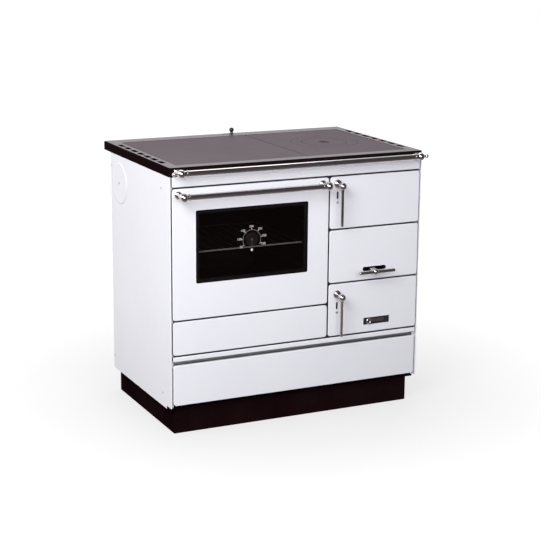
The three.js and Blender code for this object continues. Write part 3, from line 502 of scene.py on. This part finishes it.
def make_panels():
    wide = (-SIDE, SIDE)
    oven_side = (-SIDE, COLUMN - HALF_GAP)
    fire_side = (COLUMN + HALF_GAP, SIDE)
    folded_panel("fascia_skin", "root", wide, (FASCIA + HALF_GAP, FASCIA_TOP), ["fascia_strip"],
                 corner=STRIP_CORNER)
    folded_panel("lower_rail_skin", "root", wide, (RAIL_FOOT, RAIL - HALF_GAP), ["lower_rail"],
                 corner=STRIP_CORNER)
    folded_panel("soot_panel_skin", "root", oven_side, (RAIL + HALF_GAP, OVEN - HALF_GAP), ["soot_panel"])
    folded_panel("middle_panel_skin", "root", fire_side, (ASH + HALF_GAP, FIREBOX - HALF_GAP),
                 ["middle_panel"], [slot_hole(SHAKER_SLOT_X, SHAKER_SLOT_Z, radius=6.9)])
    folded_panel("oven_door_skin", "oven_door", oven_side, (OVEN + HALF_GAP, FASCIA - HALF_GAP),
                 ["oven_door_shell"], [slot_hole(WINDOW_X, WINDOW_Z, radius=5)])
    folded_panel("firebox_door_skin", "firebox_door", fire_side, (FIREBOX + HALF_GAP, FASCIA - HALF_GAP),
                 ["firebox_door_shell"], latch_holes(*FIREBOX_LATCH))
    folded_panel("ash_door_skin", "ash_door", fire_side, (RAIL + HALF_GAP, ASH - HALF_GAP),
                 ["ash_door_shell"],
                 [*latch_holes(*ASH_LATCH), slot_hole(SLIDE_WINDOW_X, SLIDE_WINDOW_Z, radius=1.5)])
    folded_panel("drawer_skin", "drawer", (-DRAWER_SIDE, DRAWER_SIDE), DRAWER_Z, ["drawer_front"],
                 white=DRAWER_WHITE_DEPTH)


make_panels()

# ------------------------------------------------------------------ top frame and hotplates


def at_outside(edge):
    """True for an edge on the outline of the top frame."""
    near = TOP_CORNER + 1
    return all(abs(v.co.x) > TOP_X - near or abs(v.co.y) > TOP_Y - near for v in edge.verts)


def at_well(edge):
    """True for an edge on the outline of the well that the hotplates lie in."""
    inside = all(abs(v.co.x) < WELL_X + 0.5 and WELL_Y[0] - 0.5 < v.co.y < WELL_Y[1] + 0.5 for v in edge.verts)
    return inside and all(abs(v.co.x) > WELL_X - 5 or v.co.y < WELL_Y[0] + 5 or v.co.y > WELL_Y[1] - 5
                          for v in edge.verts)


def make_top_frame():
    bm = bmesh.new()
    draw_loop(bm, flat_corners((-TOP_X, TOP_X), (-TOP_Y, TOP_Y), TOP_Z), TOP_CORNER, segments=8)
    draw_loop(bm, flat_corners((-WELL_X, WELL_X), WELL_Y, TOP_Z), radius=2.5, segments=4)
    for side in (-1, 1):
        for i in range(VENTS_A_SIDE):
            x, y = side * VENT_X, VENT_FIRST_Y + VENT_STEP * i
            draw_loop(bm, flat_corners((x - VENT_HALF_X, x + VENT_HALF_X), (y - VENT_HALF_Y, y + VENT_HALF_Y),
                                       TOP_Z), radius=5)
    draw_loop(bm, flat_corners(DAMPER_SLOT_X, DAMPER_SLOT_Y, TOP_Z), radius=3.9)
    fill(bm, UP)
    rims = [e for e in bm.edges if len(e.link_faces) == 1]
    outer = [e for e in rims if at_outside(e)]
    well = [e for e in rims if at_well(e) and not at_outside(e)]
    openings = [e for e in rims if not at_outside(e) and not at_well(e)]
    fold(bm, outer, (0, 0, -TOP_SKIRT))
    fold(bm, openings, (0, 0, -VENT_DEPTH))
    bottom = fold(bm, well, (0, 0, -WELL_DEPTH))
    ledge = bmesh.ops.extrude_edge_only(bm, edges=bottom)["geom"]
    for vert in only(ledge, bmesh.types.BMVert):
        vert.co.x -= math.copysign(WELL_LEDGE, vert.co.x)
        vert.co.y -= math.copysign(WELL_LEDGE, vert.co.y - sum(WELL_Y) / 2)
    face_outwards(bm, 2, 1)
    upper = [e for e in folded_edges(bm) if all(v.co.z > TOP_Z - 0.1 for v in e.verts)]
    round_edges(bm, [e for e in upper if at_outside(e)], TOP_SHOULDER, segments=5)
    for face in bm.faces:
        face.material_index = int(face.normal.z > SQUARE_ON and face.calc_center_median().z > TOP_Z - 0.2)
    set_down(bm, "top_frame_casting", "root", "frame_enamel", ["top_frame"], second="deck_iron", wall=TOP_WALL)


def ground_plate(name, x, stands_for, round_hole=False):
    """A flat ground hotplate, with the round hole for the ring where the fire is under it."""
    bm = bmesh.new()
    upper = TOP_Z - PLATE_DROP
    draw_loop(bm, flat_corners(x, PLATE_Y, upper), radius=2.5, segments=5)
    if round_hole:
        draw_circle(bm, (*RING_CENTRE, upper), RING_HOLE, UP, segments=96)
    thicken(bm, fill(bm, UP), (0, 0, -PLATE_THICK))
    set_down(bm, name, "root", "hotplate_iron", [stands_for], rounding=PLATE_EDGE)


def make_round_plates():
    """The ring and the lid in it, each with a step underneath and fine chamfers on top, and painted shade in the
    lid's lifting recess.
    """
    x, y = RING_CENTRE
    upper = TOP_Z - PLATE_DROP
    lower = upper - PLATE_THICK
    ring = bmesh.new()
    turn(ring, [(70.6, 0.3), (108, 0.3), (108, 4.7), (115, 4.7), (115, 8.8), (113.8, 10), (79.0, 10),
                (77.8, 8.8), (77.6, 5), (70.6, 5), (70.6, 0.3)], (x, y, lower), UP, steps=96)
    set_down(ring, "hotplate_ring_plate", "hotplate_ring", "hotplate_iron", ["hotplate_ring"])
    lid = bmesh.new()
    turn(lid, [(0, 0.3), (70, 0.3), (70, 5.3), (77, 5.3), (77, 8.8), (75.8, 10), (18.6, 10),
               (LID_WELL, 9.2), (14, 5), (8, 4), (0, 4)], (x, y, lower), UP, steps=96)
    # Painted shade: the lid's lifting recess, its walls and floor, takes the dark ground coat.
    for face in lid.faces:
        middle = face.calc_center_median()
        face.material_index = int(math.hypot(middle.x - x, middle.y - y) < LID_WELL and middle.z > lower + 2)
    rod(lid, (x - 17, y, upper - 2.4), (x + 17, y, upper - 2.4), radius=2.2)
    set_down(lid, "hotplate_lid_plate", "hotplate_lid", "hotplate_iron", ["hotplate_lid"],
             second="ground_coat")


make_top_frame()
ground_plate("hotplate_left_plate", LEFT_PLATE_X, "hotplate_left")
ground_plate("hotplate_right_plate", RIGHT_PLATE_X, "hotplate_right", round_hole=True)
make_round_plates()

# ------------------------------------------------------------------ chromed rails and handles


def collar(bm, start, direction, inner, outer, width, steps=40):
    """A narrow turned collar round a rod."""
    turn(bm, [(inner, 0), (outer, 0.6), (outer, width - 0.6), (inner, width), (inner, 0)], start, direction,
         steps)


def make_towel_rail():
    y, z = -333, 855.5
    ball_x, end_x, collar_x, rod_end_x = 424, 447, 402, 415
    for side, word in ((-1, "left"), (1, "right")):
        x = side * ball_x
        bm = bmesh.new()
        turn(bm, [(0, 0), (11, 0), (11, 1.6), (10, 2.4), (8, 4), (0, 4)], (x, -300.3, z), FORWARD)
        rod(bm, (x, FACE, z), (x, y, z), radius=5.5)
        ball(bm, (x, y, z), radius=13.5, segments=40)
        rod(bm, (x, y, z), (side * end_x, y, z), radius=4)
        ball(bm, (side * end_x, y, z), radius=6.5, segments=28)
        set_down(bm, f"towel_bracket_{word}_chromed", "root", "chrome", [f"towel_bracket_{word}"])
    bm = bmesh.new()
    rod(bm, (-rod_end_x, y, z), (rod_end_x, y, z), radius=9.3, steps=40)
    for side in (-1, 1):
        collar(bm, (side * collar_x, y, z), (side, 0, 0), inner=9, outer=11.3, width=4)
    set_down(bm, "towel_rail_chromed", "root", "chrome", ["towel_rail"])


def make_oven_handle():
    y, z, middle = -347, 784, -171.3
    to_ball, to_end, to_collar = 250, 241, 229
    for side, word in ((-1, "left"), (1, "right")):
        x = middle + side * to_ball
        bm = bmesh.new()
        turn(bm, [(0, 0), (12.5, 0), (12.5, 1.6), (11.8, 3.4), (10, 5.4), (7.6, 6.8), (0, 7.6)],
             (x, FACE - 0.3, z), FORWARD)
        rod(bm, (x, FACE - 2, z), (x, y, z), radius=6.5)
        ball(bm, (x, y, z), radius=14, segments=40)
        set_down(bm, f"oven_handle_bracket_{word}_chromed", "oven_door", "chrome",
                 [f"oven_handle_bracket_{word}"])
    bm = bmesh.new()
    rod(bm, (middle - to_end, y, z), (middle + to_end, y, z), radius=8.7, steps=40)
    for side in (-1, 1):
        collar(bm, (middle + side * to_collar, y, z), (side, 0, 0), inner=8.4, outer=10.6, width=3.8)
    set_down(bm, "oven_handle_bar_chromed", "oven_door", "chrome", ["oven_handle_bar"])


def make_latch(name, body, x, z):
    """A latch handle that hangs from a ball in front of its rosette, on a pin with the catch behind the sheet."""
    y, length, catch_x = -337, 136, 117
    bm = bmesh.new()
    turn(bm, [(0, 0), (14.3, 0), (14.3, 1.8), (13.6, 3.8), (11.8, 6.2), (9, 8), (5.6, 9), (0, 9.2)],
         (x, FACE - 0.3, z), FORWARD)
    rod(bm, (x, FACE - 3, z), (x, y, z), radius=5)
    rod(bm, (x, FACE + 2.8, z), (x, FACE - 2, z), radius=3.5)
    ball(bm, (x, y, z - 3), radius=13, segments=40)
    turn(bm, [(4.1, 0), (6.2, 0.8), (6.2, 3.6), (4.1, 4.6), (4.1, 0)], (x, y, z - 14.5), (0, 0, -1))
    rod(bm, (x, y, z), (x, y, z - length), radius=4.8, chamfer=2)
    bar(bm, (catch_x, x + 4), (FACE + 1.8, FACE + 3.8), (z - 5, z + 5), rounding=0.5, segments=2)
    set_down(bm, name, body, "chrome", [body])


def make_shaker_handle():
    x, z = SHAKER
    y, grate_y, bar_z, bar_radius = -342, -195.3, z - 2, 6
    bm = bmesh.new()
    rod(bm, (x, y, z), (x, grate_y, z), radius=4.3)
    turn(bm, [(0, 0), (7, 0), (8.6, 2), (9.5, 5), (8.6, 8), (7, 10), (0, 10)], (x, y + 9, z), (0, 1, 0))
    ball(bm, (x, y, z - 1.5), radius=10.5, segments=36)
    for side, length in ((-1, 59), (1, 73)):
        turn(bm, [(0, 0), (bar_radius, 0), (bar_radius, length - 3), (5, length - 1), (3, length),
                  (0, length)], (x + side, y, bar_z), (side, 0, 0), steps=28)
        collar(bm, (x + side * 9.5, y, bar_z), (side, 0, 0), inner=5.8, outer=7.6, width=4, steps=28)
    set_down(bm, "shaker_handle_chromed", "shaker", "chrome", ["shaker_handle"])


def make_air_slide():
    x, z = AIR_KNOB
    bm = bmesh.new()
    bar(bm, AIR_STRIP_X, (FACE + 1.7, FACE + 3.2), (z - 6.5, z + 6.5), rounding=0.4, segments=2)
    set_down(bm, "air_slide_strip", "air_slide", "slide_brown", ["air_slide"])
    bm = bmesh.new()
    rod(bm, (x, FACE - 2, z), (x, FACE + 2.5, z), radius=4)
    turn(bm, [(4.2, 0), (7, 0), (9.4, 2.4), (9.7, 4.2), (9, 5.8), (7.6, 6.6), (6, 6.3), (4.5, 5), (4.2, 0)],
         (x, FACE - 0.6, z), FORWARD)
    set_down(bm, "air_slide_ring", "air_slide", "chrome")
    bm = bmesh.new()
    turn(bm, [(0, 0.4), (4, 0.4), (4, 2), (3.4, 2.4), (0, 2.4)], (x, FACE - 0.6, z), FORWARD, steps=32)
    set_down(bm, "air_slide_ring_centre", "air_slide", "black_knob")


def make_damper_knob():
    x, y = DAMPER_KNOB
    bm = bmesh.new()
    turn(bm, [(0, 0), (6.4, 0), (6.4, 1.2), (4.8, 4), (4.2, 12), (0, 12)], (x, y, TOP_Z + 0.3), UP)
    ball(bm, (x, y, TOP_Z + 13), radius=8.4)
    set_down(bm, "damper_knob_ball", "damper", "black_knob", ["damper_knob"])


make_towel_rail()
make_oven_handle()
make_latch("firebox_latch_chromed", "firebox_latch", *FIREBOX_LATCH)
make_latch("ash_latch_chromed", "ash_latch", *ASH_LATCH)
make_shaker_handle()
make_air_slide()
make_damper_knob()

# ------------------------------------------------------------------ dial on the oven glass

PRINT_Y, PRINT_THICK, PRINT_MERGE = FACE - 0.05, 0.2, 0.001
ARC, TICK_TO, SHORT_TICK_FROM, LONG_TICK_FROM = (30.4, 31.8), 30.5, 29.4, 28.4
SCALE_START, SCALE_SWEEP, SCALE_TICKS, LONG_TICK_EVERY = -34, 248, 25, 4
FIGURES = {50: 212, 100: 176, 150: 135, 200: 92, 250: 50, 300: 12, 350: -24}
FIGURE_HEIGHT, FIGURES_ACROSS, FIGURES_UP = 10, 44, 42


def dial_text(bm, words, x, z):
    """Plain figures that stand upright on the glass."""
    curve = bpy.data.curves.new("figures", "FONT")
    curve.body = words
    curve.size = FIGURE_HEIGHT
    curve.align_x = "CENTER"
    curve.align_y = "CENTER"
    holder = new_object("figures", curve)
    mesh = evaluated_mesh(holder)
    bpy.data.objects.remove(holder)
    mesh.transform(Matrix.Translation((x, PRINT_Y, z)) @ Matrix.Rotation(math.radians(90), 4, "X"))
    bm.from_mesh(mesh)
    bpy.data.meshes.remove(mesh)
    bpy.data.curves.remove(curve)


def flat_arc(bm, centre, inner, outer, start, end, steps):
    """A flat band of arc on the glass, from one angle to another in degrees."""
    x, z = centre
    first, last = math.radians(start), math.radians(end)
    verts = [bm.verts.new((x + r * math.cos(first), PRINT_Y, z + r * math.sin(first))) for r in (inner, outer)]
    edge = bm.edges.new(verts)
    bmesh.ops.spin(bm, geom=[*verts, edge], cent=(x, PRINT_Y, z), axis=FORWARD, dvec=(0, 0, 0),
                   angle=last - first, steps=steps, use_merge=False, use_duplicate=False)


def set_down_print(bm, name, material):
    """Gives flat print a little thickness and sets it down on the oven door's glass."""
    bmesh.ops.remove_doubles(bm, verts=bm.verts, dist=PRINT_MERGE)
    thicken(bm, bm.faces[:], (0, PRINT_THICK, 0))
    set_down(bm, name, "oven_door", material)


def make_dial():
    x, z = THERMOMETER
    scale = bmesh.new()
    flat_arc(scale, THERMOMETER, *ARC, SCALE_START, SCALE_START + SCALE_SWEEP, steps=62)
    for i in range(SCALE_TICKS):
        angle = SCALE_START + SCALE_SWEEP * i / (SCALE_TICKS - 1)
        inner = SHORT_TICK_FROM if i % LONG_TICK_EVERY else LONG_TICK_FROM
        flat_arc(scale, THERMOMETER, inner, TICK_TO, angle - 0.7, angle + 0.7, steps=1)
    set_down_print(scale, "dial_scale", "dial_grey")
    marks = bmesh.new()
    for figures, angle in FIGURES.items():
        reach = math.radians(angle)
        dial_text(marks, str(figures), x + FIGURES_ACROSS * math.cos(reach),
                  z + FIGURES_UP * math.sin(reach))
        flat_arc(marks, THERMOMETER, 33, 36, angle - 1.6, angle + 1.6, steps=1)
    flat_arc(marks, (x, z - 34), 0.2, 4, 0, 360, steps=20)
    set_down_print(marks, "dial_marks", "dial_white")
    face = bmesh.new()
    turn(face, [(0, -1.2), (4.2, -1.2), (4.2, 0), (21, 0), (22, 0.4), (22, 0.9), (21.2, 1.3), (20, 1.3),
                (19, 0.9), (0, 0.9)], (x, FACE + 0.1, z), FORWARD, steps=56)
    set_down(face, "dial_face", "oven_door", "dial_brown", ["oven_thermometer"])
    hand = bmesh.new()
    turn(hand, [(0, 0), (3.4, 0), (3.2, 1), (1.6, 1.6), (0, 1.6)], (x, FACE - 0.8, z), FORWARD, steps=28)
    bar(hand, (x - 0.9, x + 0.9), (FACE - 1.9, FACE - 1.3), (z - 27, z), rounding=0.2, segments=1)
    set_down(hand, "dial_hand", "oven_door", "slide_brown")


make_dial()

# ------------------------------------------------------------------ oven rack


def make_rack():
    left, right, front, back, z = -382, 40, -232, 120, 582.3
    edge_wire, inner_wire, inner_wires, overhang = 2.5, 1.9, 10, 2
    bm = bmesh.new()
    # The front wire alone gets the pale finish, a painted highlight; the other wires are plain steel.
    rod(bm, (left - overhang, front, z), (right + overhang, front, z), edge_wire, steps=16)
    set_down(bm, "oven_rack_rim", "root", "rack_rim_painted_highlight", ["oven_rack"])
    bm = bmesh.new()
    rod(bm, (left - overhang, back, z), (right + overhang, back, z), edge_wire, steps=16)
    for x in (left, right):
        rod(bm, (x, front, z), (x, back, z), edge_wire, steps=16)
    for i in range(1, inner_wires + 1):
        x = left + (right - left) * i / (inner_wires + 1)
        rod(bm, (x, front, z), (x, back, z), inner_wire, steps=10)
    set_down(bm, "oven_rack_wires", "root", "plain_steel")


make_rack()

# ------------------------------------------------------------------ small fittings


def screw_head(bm, spot, facing, radius):
    turn(bm, [(0, 0), (radius, 0), (radius, 0.5), (radius * 0.8, 1.1), (radius * 0.4, 1.35), (0, 1.4)], spot,
         facing, steps=24)


def make_fittings():
    bm = bmesh.new()
    for side in (-1, 1):
        for y, z in SIDE_SCREWS:
            screw_head(bm, (side * CASING, y, z), (side, 0, 0), radius=3.6)
    set_down(bm, "side_screws", "root", "zinc")
    for body, (x, z) in (("firebox_door", FIREBOX_LATCH), ("ash_door", ASH_LATCH)):
        bm = bmesh.new()
        screw_head(bm, (x, FACE, z - 61), FORWARD, radius=3.9)
        set_down(bm, f"{body}_screw", body, "zinc")
    outwards = (-1, 0, 0)
    bm = bmesh.new()
    turn(bm, [(0, 0), (70, 0), (70, 0.6), (69, 1.6), (66, 2.2), (60, 2.2), (56, 1.6), (12, 1.6), (8, 2.2),
              (0, 2.2)], (-CASING - 0.2, *SIDE_OUTLET), outwards, steps=96)
    set_down(bm, "side_outlet_cover_pressed", "root", "white_enamel", ["side_outlet_cover"])
    bm = bmesh.new()
    screw_head(bm, (-CASING - 2.4, *SIDE_OUTLET), outwards, radius=4.5)
    set_down(bm, "side_outlet_screw", "root", "zinc")


make_fittings()

# ------------------------------------------------------------------ floor, light and air, in metres

FLOOR_SIZE, FLOOR_GREY = 14, 0.16
# The glow is lower near the stove: a painted shade halo round its base, fading out by the far distance.
SHADE_HALO_DISTANCE, SHADE_HALO_GLOW, GLOW_FAR = (0.5, 1.7), 0.70, 1.0
DARK_FLOOR, DARK_FLOOR_Y = (0.12, 0.09, 0.09), (-0.28, -0.45)
AIR_TONE, AIR_LIGHT = (0.98, 0.98, 1.0), 0.44
DARK_ROOM, DARK_ROOM_Y = 0.08, (-0.05, 0.45)


def background_rays(tree, rays):
    """One for the rays that show the background: the camera's own, and those off metal and through glass."""
    total = rays.outputs["Is Camera Ray"]
    for kind in ("Is Glossy Ray", "Is Transmission Ray"):
        total = math_node(tree, "MAXIMUM", total, rays.outputs[kind])
    return total


def stage_floor():
    """A pale floor that glows towards white away from the stove, with a painted shade halo where the glow is
    lower near it; metal sees it dark in front of the stove.
    """
    bm = bmesh.new()
    bmesh.ops.create_grid(bm, x_segments=1, y_segments=1, size=FLOOR_SIZE)
    mesh = bpy.data.meshes.new("studio_floor")
    bm.to_mesh(mesh)
    bm.free()
    material = bpy.data.materials.new("studio_floor")
    material.use_nodes = True
    tree = material.node_tree
    link = tree.links.new
    shader = tree.nodes["Principled BSDF"]
    shader.inputs["Base Color"].default_value = (FLOOR_GREY, FLOOR_GREY, FLOOR_GREY, 1)
    shader.inputs["Roughness"].default_value = 0.9
    shader.inputs["Specular IOR Level"].default_value = 0.1
    rays = new_node(tree, "LightPath")
    where = new_node(tree, "TexCoord").outputs["Object"]

    # Painted shade: the glow drops near the stove, so the floor reads grey round its base.
    distance = new_node(tree, "VectorMath")
    distance.operation = "LENGTH"
    link(where, distance.inputs[0])
    halo_shaded_glow = levels_node(tree, distance.outputs["Value"], *SHADE_HALO_DISTANCE,
                             {"To Min": SHADE_HALO_GLOW, "To Max": GLOW_FAR}).outputs["Result"]
    glow = new_node(tree, "Emission", {"Color": (1, 1, 1, 1)})
    link(math_node(tree, "MULTIPLY", background_rays(tree, rays), halo_shaded_glow), glow.inputs["Strength"])
    lit = new_node(tree, "AddShader")
    link(shader.outputs["BSDF"], lit.inputs[0])
    link(glow.outputs["Emission"], lit.inputs[1])

    parts = new_node(tree, "SeparateXYZ")
    link(where, parts.inputs["Vector"])
    in_front = levels_node(tree, parts.outputs["Y"], *DARK_FLOOR_Y).outputs["Result"]
    dark = new_node(tree, "BsdfDiffuse", {"Color": (*DARK_FLOOR, 1)})
    either = new_node(tree, "MixShader")
    link(math_node(tree, "MULTIPLY", in_front, rays.outputs["Is Glossy Ray"]), either.inputs["Fac"])
    link(lit.outputs["Shader"], either.inputs[1])
    link(dark.outputs["BSDF"], either.inputs[2])
    link(either.outputs["Shader"], tree.nodes["Material Output"].inputs["Surface"])
    mesh.materials.append(material)
    new_object("studio_floor", mesh)


def studio_air():
    """White behind the stove and plain grey light all round; metal also sees the dark room behind the camera."""
    world = bpy.data.worlds.new("studio_air")
    bpy.context.scene.world = world
    world.use_nodes = True
    tree = world.node_tree
    link = tree.links.new
    around = tree.nodes["Background"]
    around.inputs["Color"].default_value = (*AIR_TONE, 1)
    around.inputs["Strength"].default_value = AIR_LIGHT
    rays = new_node(tree, "LightPath")
    parts = new_node(tree, "SeparateXYZ")
    link(new_node(tree, "TexCoord").outputs["Generated"], parts.inputs["Vector"])
    room = levels_node(tree, parts.outputs["Y"], *DARK_ROOM_Y, {"To Min": DARK_ROOM}).outputs["Result"]
    white = new_node(tree, "Background", {"Color": (1, 1, 1, 1)})
    link(math_node(tree, "MAXIMUM", room, rays.outputs["Is Camera Ray"]), white.inputs["Strength"])
    either = new_node(tree, "MixShader")
    link(background_rays(tree, rays), either.inputs["Fac"])
    link(around.outputs["Background"], either.inputs[1])
    link(white.outputs["Background"], either.inputs[2])
    link(either.outputs["Shader"], tree.nodes["World Output"].inputs["Surface"])


def soft_lamp(name, spot, target, size, power):
    lamp = bpy.data.lights.new(name, "AREA")
    lamp.shape = "RECTANGLE"
    lamp.size, lamp.size_y = size
    lamp.energy = power
    holder = new_object(name, lamp)
    holder.location = spot
    holder.rotation_euler = (Vector(target) - Vector(spot)).to_track_quat("-Z", "Y").to_euler()


stage_floor()
studio_air()
soft_lamp("left_softbox", (-1.9, -1.8, 2.15), (0, 0, 0.8), (1.3, 1.3), power=66)
soft_lamp("side_softbox", (-2.6, 0.3, 2.0), (0, 0, 0.7), (1.2, 1.2), power=20)
soft_lamp("front_softbox", (-0.7, -3.0, 1.5), (0, 0, 0.95), (2.2, 1.2), power=45)
soft_lamp("overhead_softbox", (0.3, 0.9, 3.0), (0, 0, 0.8), (2.0, 1.2), power=18)
bpy.context.scene.view_settings.view_transform = "Standard"

bpy.context.view_layer.update()
